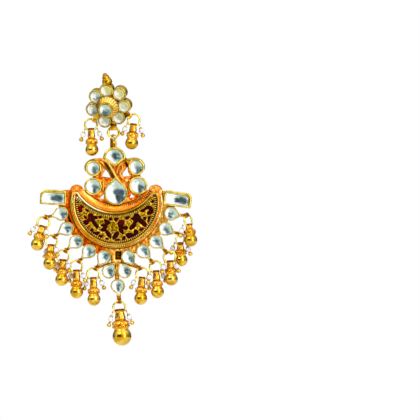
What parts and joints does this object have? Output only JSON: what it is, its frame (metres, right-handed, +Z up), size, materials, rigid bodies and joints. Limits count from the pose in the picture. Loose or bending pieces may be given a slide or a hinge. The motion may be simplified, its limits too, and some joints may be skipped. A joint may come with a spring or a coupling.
{
  "type": "crescent drop earring",
  "caption": "Long gold drop earring: a stone-set flower top, a link, and a crescent pendant with pierced dark red panel, pear stones and ball drops with seed pearls.",
  "frame": {"origin": "where the ear post leaves the back of the flower, which is where the lobe sits and the earring hangs", "axes": "+Z up, +X the viewer's right, -Y towards the viewer; the pendant hangs in a plane parallel to X and Z"},
  "size_m": [0.0509, 0.0161, 0.0818],
  "materials": {
    "setting_gold": "aged gold, bright on the rims and deep orange in the recesses",
    "fretwork_gold": "fine pierced gold sheet and wire, softly worn",
    "drop_gold": "polished yellow gold, darker in the joints",
    "stone": "flat uncut stones over foil, pale green-white with grey-blue flashes, opaque from the foil",
    "pearl": "white seed pearls with gold caps and gold bead ends",
    "dark_red_glass": "dark maroon glass over foil, opaque"
  },
  "bodies": {
    "ear_top": {"flower_setting": "setting_gold", "ear_post": "drop_gold", "petal_stones": "stone", "centre_stone": "stone", "flower_pearls": "pearl", "jump_ring_12": "drop_gold", "jump_ring_13": "drop_gold", "ball_drop_12": "drop_gold", "ball_drop_13": "drop_gold"},
    "link": {"link_ring": "drop_gold"},
    "pendant": {"pendant_frame": "setting_gold", "panel_glass": "dark_red_glass", "panel_fretwork": "fretwork_gold", "stone_top": "stone", "stone_teardrop": "stone", "stone_upper_left": "stone", "stone_upper_right": "stone", "stone_lower_left": "stone", "stone_lower_right": "stone", "baguette_left": "stone", "baguette_right": "stone", "pear_stone_1": "stone", "pear_stone_2": "stone", "pear_stone_3": "stone", "pear_stone_4": "stone", "pear_stone_5": "stone", "pear_stone_6": "stone", "pear_stone_7": "stone", "pear_stone_8": "stone", "pear_stone_9": "stone", "pear_stone_10": "stone", "pear_stone_11": "stone", "pear_stone_12": "stone", "pear_stone_13": "stone", "jump_ring_1": "drop_gold", "jump_ring_2": "drop_gold", "jump_ring_3": "drop_gold", "jump_ring_4": "drop_gold", "jump_ring_5": "drop_gold", "jump_ring_6": "drop_gold", "jump_ring_7": "drop_gold", "jump_ring_8": "drop_gold", "jump_ring_9": "drop_gold", "jump_ring_10": "drop_gold", "jump_ring_11": "drop_gold", "ball_drop_1": "drop_gold", "ball_drop_2": "drop_gold", "ball_drop_3": "drop_gold", "ball_drop_4": "drop_gold", "ball_drop_5": "drop_gold", "ball_drop_6": "drop_gold", "ball_drop_7": "drop_gold", "ball_drop_8": "drop_gold", "ball_drop_9": "drop_gold", "ball_drop_10": "drop_gold", "ball_drop_11": "drop_gold", "pendant_pearls": "pearl"}
  },
  "joints": [
    {"name": "link_swing", "type": "hinge", "parent": "ear_top", "child": "link", "pos_m": [0.00095, 0.002, -0.00678], "axis": [1, 0, 0], "range_deg": [-40, 40]},
    {"name": "pendant_sway", "type": "hinge", "parent": "link", "child": "pendant", "pos_m": [0.00095, 0.002, -0.0085], "axis": [0, 1, 0], "range_deg": [-8, 8]}
  ]
}
